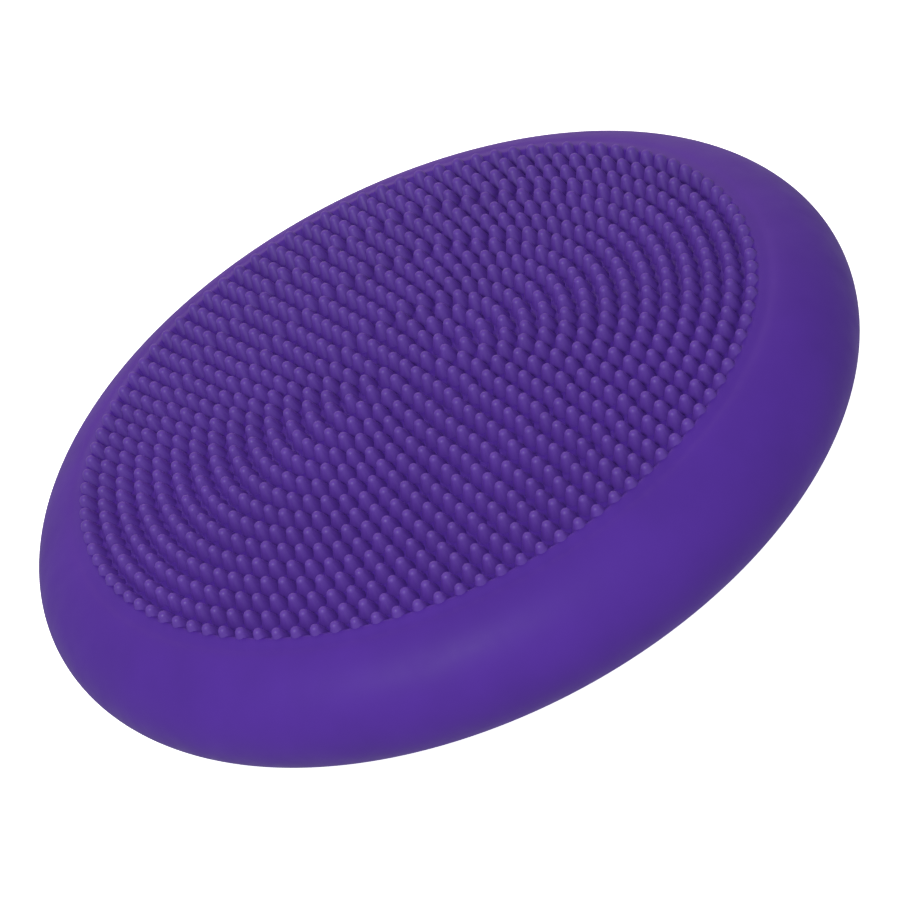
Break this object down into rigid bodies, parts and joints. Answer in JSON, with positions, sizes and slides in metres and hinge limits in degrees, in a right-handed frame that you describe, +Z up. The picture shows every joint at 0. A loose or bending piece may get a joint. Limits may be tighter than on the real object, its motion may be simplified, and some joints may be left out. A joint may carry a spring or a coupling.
{
  "type": "wobble cushion",
  "caption": "Round air-filled balance cushion with a domed massage-nub face, a smooth rounded rim and a plugged inflation valve.",
  "frame": {"origin": "centre of the flat patch the cushion stands on, at floor level", "axes": "+Z up through the nubbed face, +Y towards the valve in the rim"},
  "size_m": [0.33, 0.33, 0.0745],
  "materials": {
    "skin_top": "satin moulded soft PVC",
    "skin_rim": "satin moulded soft PVC",
    "skin_base": "satin moulded soft PVC",
    "valve_rubber": "matt rubber",
    "plug_plastic": "satin"
  },
  "bodies": {
    "base": {"bottom_panel": "skin_base"},
    "rim": {"lower_rim": "skin_rim", "upper_rim": "skin_rim", "valve_boss": "skin_rim", "valve_body": "valve_rubber"},
    "seat": {"top_panel": "skin_top"},
    "plug": {"valve_plug": "plug_plastic"}
  },
  "joints": [
    {"name": "tilt_front_back", "type": "hinge", "parent": "base", "child": "rim", "pos_m": [0, 0, 0.013], "axis": [1, 0, 0], "range_deg": [-4, 4], "stiffness_Nm_per_rad": 120},
    {"name": "tilt_side", "type": "hinge", "parent": "rim", "child": "seat", "pos_m": [0, 0, 0.061], "axis": [0, 1, 0], "range_deg": [-5, 5], "stiffness_Nm_per_rad": 90},
    {"name": "plug_pull", "type": "slide", "parent": "rim", "child": "plug", "axis": [0, 0.866, -0.5], "range_m": [0, 0.014]}
  ]
}
